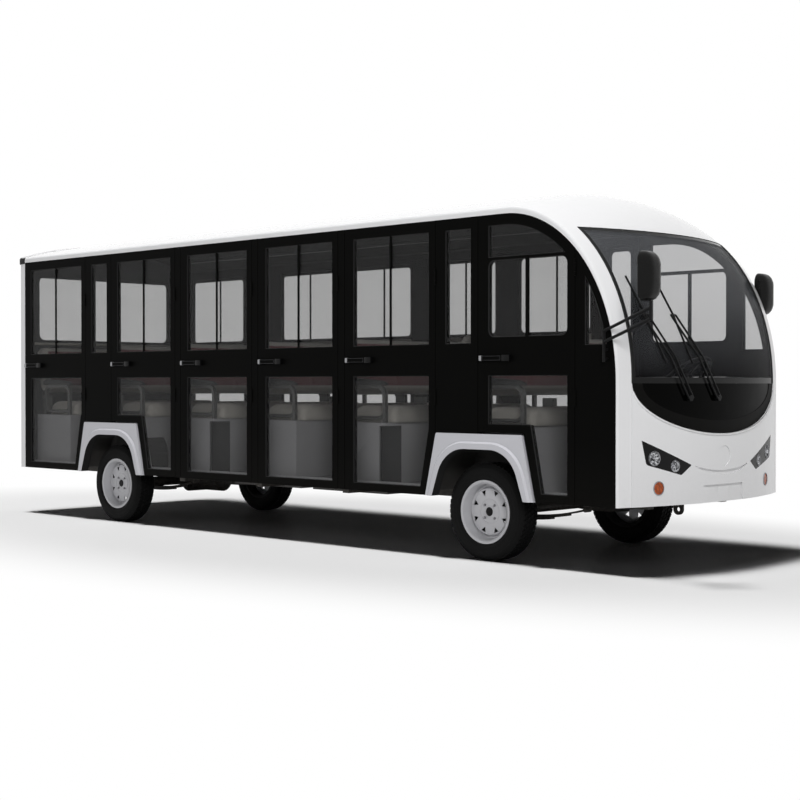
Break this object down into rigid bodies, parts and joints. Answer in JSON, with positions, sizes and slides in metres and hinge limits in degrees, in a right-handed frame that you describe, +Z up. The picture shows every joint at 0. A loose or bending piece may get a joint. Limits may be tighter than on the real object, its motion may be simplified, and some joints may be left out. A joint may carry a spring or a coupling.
{
  "type": "enclosed electric sightseeing car",
  "caption": "Enclosed electric sightseeing car with a curved front and roof, black glazed sides, hinged side doors, bench seat rows and steered front wheels on steel rims.",
  "frame": {"origin": "on the ground, under the middle of the bounding box, close to the middle of the wheelbase", "axes": "+X forward, +Y to the vehicle's left, +Z up"},
  "size_m": [6.459, 2.07, 2.275],
  "materials": {
    "white_body": "glossy white moulded panel",
    "black_panel": "glossy black panel",
    "tinted_glass": "smoked safety glass",
    "clear_glass": "lightly tinted laminated glass",
    "lamp_clear": "clear lamp lens",
    "lamp_amber": "amber lamp lens",
    "lamp_red": "red lamp lens",
    "black_plastic": "satin black moulded plastic",
    "chassis_black": "black chassis paint",
    "housing_dark": "dark sheet",
    "battery_case": "painted steel case",
    "floor_cover": "dark ribbed floor covering",
    "tyre_rubber": "black rubber",
    "wheel_steel": "silver painted steel",
    "seat_base": "light grey sheet",
    "seat_tube": "grey painted tube",
    "seat_beige": "beige grey leatherette",
    "seat_maroon": "maroon leatherette with beige border"
  },
  "bodies": {
    "body": {"roof_shell": "white_body", "front_hoops": "white_body", "nose_panel": "white_body", "wheel_arches": "white_body", "rear_panel": "white_body", "right_side_panels": "black_panel", "left_side_panels": "black_panel", "windshield_apron": "black_panel", "lamp_housings": "black_panel", "side_glass": "tinted_glass", "rear_window": "tinted_glass", "windshield": "clear_glass", "headlamps": "lamp_clear", "turn_lamps": "lamp_amber", "tail_lamps": "lamp_red", "wipers": "black_plastic", "mirrors": "black_plastic", "dashboard": "black_plastic", "steering_column": "black_plastic", "chassis_rails": "chassis_black", "cross_members": "chassis_black", "front_axle": "chassis_black", "rear_axle": "chassis_black", "leaf_springs": "chassis_black", "wheel_housings": "housing_dark", "battery_pack": "battery_case", "floor_deck": "floor_cover", "seat_bases": "seat_base", "seat_frames": "seat_tube", "seat_cushions": "seat_beige", "seat_backs": "seat_maroon"},
    "knuckle_right": {"knuckle_right": "chassis_black"},
    "knuckle_left": {"knuckle_left": "chassis_black"},
    "tie_rod": {"tie_rod": "chassis_black"},
    "steering_wheel": {"steering_wheel": "black_plastic"},
    "wheel_front_right": {"tyre_front_right": "tyre_rubber", "rim_front_right": "wheel_steel"},
    "wheel_front_left": {"tyre_front_left": "tyre_rubber", "rim_front_left": "wheel_steel"},
    "wheel_rear_right": {"tyre_rear_right": "tyre_rubber", "rim_rear_right": "wheel_steel"},
    "wheel_rear_left": {"tyre_rear_left": "tyre_rubber", "rim_rear_left": "wheel_steel"},
    "right_door_1": {"right_door_1": "black_panel", "right_door_1_glass": "tinted_glass"},
    "right_door_2": {"right_door_2": "black_panel", "right_door_2_glass": "tinted_glass"},
    "right_door_3": {"right_door_3": "black_panel", "right_door_3_glass": "tinted_glass"},
    "right_door_4": {"right_door_4": "black_panel", "right_door_4_glass": "tinted_glass"},
    "right_door_5": {"right_door_5": "black_panel", "right_door_5_glass": "tinted_glass"},
    "right_door_6": {"right_door_6": "black_panel", "right_door_6_glass": "tinted_glass"},
    "left_door": {"left_door": "black_panel", "left_door_glass": "tinted_glass"}
  },
  "joints": [
    {"name": "steer_left", "type": "hinge", "parent": "body", "child": "knuckle_left", "pos_m": [1.8805, 0.6, 0.3], "axis": [0, 0, 1], "range_deg": [-30, 30]},
    {"name": "steer_right", "type": "hinge", "parent": "body", "child": "knuckle_right", "pos_m": [1.8805, -0.6, 0.3], "axis": [0, 0, 1], "range_deg": [-30, 30]},
    {"name": "tie_rod_pivot", "type": "hinge", "parent": "knuckle_left", "child": "tie_rod", "pos_m": [1.7305, 0.6, 0.322], "axis": [0, 0, 1], "range_deg": [-30, 30]},
    {"name": "steering_wheel_turn", "type": "hinge", "parent": "body", "child": "steering_wheel", "pos_m": [2.5205, 0.4, 1.12], "axis": [-0.6428, 0, 0.766], "range_deg": [-450, 450]},
    {"name": "front_right_roll", "type": "hinge", "parent": "knuckle_right", "child": "wheel_front_right", "pos_m": [1.8805, -0.7325, 0.3], "axis": [0, 1, 0], "continuous": true},
    {"name": "front_left_roll", "type": "hinge", "parent": "knuckle_left", "child": "wheel_front_left", "pos_m": [1.8805, 0.7325, 0.3], "axis": [0, 1, 0], "continuous": true},
    {"name": "rear_right_roll", "type": "hinge", "parent": "body", "child": "wheel_rear_right", "pos_m": [-1.9295, -0.7325, 0.3], "axis": [0, 1, 0], "continuous": true},
    {"name": "rear_left_roll", "type": "hinge", "parent": "body", "child": "wheel_rear_left", "pos_m": [-1.9295, 0.7325, 0.3], "axis": [0, 1, 0], "continuous": true},
    {"name": "right_door_1_swing", "type": "hinge", "parent": "body", "child": "right_door_1", "pos_m": [2.6125, -0.87, 1.2], "axis": [0, 0, 1], "range_deg": [0, 80]},
    {"name": "right_door_2_swing", "type": "hinge", "parent": "body", "child": "right_door_2", "pos_m": [1.5265, -0.87, 1.2], "axis": [0, 0, 1], "range_deg": [0, 80]},
    {"name": "right_door_3_swing", "type": "hinge", "parent": "body", "child": "right_door_3", "pos_m": [0.6495, -0.87, 1.2], "axis": [0, 0, 1], "range_deg": [0, 80]},
    {"name": "right_door_4_swing", "type": "hinge", "parent": "body", "child": "right_door_4", "pos_m": [-0.2275, -0.87, 1.2], "axis": [0, 0, 1], "range_deg": [0, 80]},
    {"name": "right_door_5_swing", "type": "hinge", "parent": "body", "child": "right_door_5", "pos_m": [-1.1045, -0.87, 1.2], "axis": [0, 0, 1], "range_deg": [0, 80]},
    {"name": "right_door_6_swing", "type": "hinge", "parent": "body", "child": "right_door_6", "pos_m": [-2.2675, -0.87, 1.2], "axis": [0, 0, 1], "range_deg": [0, 80]},
    {"name": "left_door_swing", "type": "hinge", "parent": "body", "child": "left_door", "pos_m": [2.6125, 0.87, 1.2], "axis": [0, 0, -1], "range_deg": [0, 80]}
  ],
  "couplings": [
    {"joint": "steer_right", "follows": "steer_left", "ratio": 1},
    {"joint": "tie_rod_pivot", "follows": "steer_left", "ratio": -1},
    {"joint": "steering_wheel_turn", "follows": "steer_left", "ratio": 15}
  ]
}
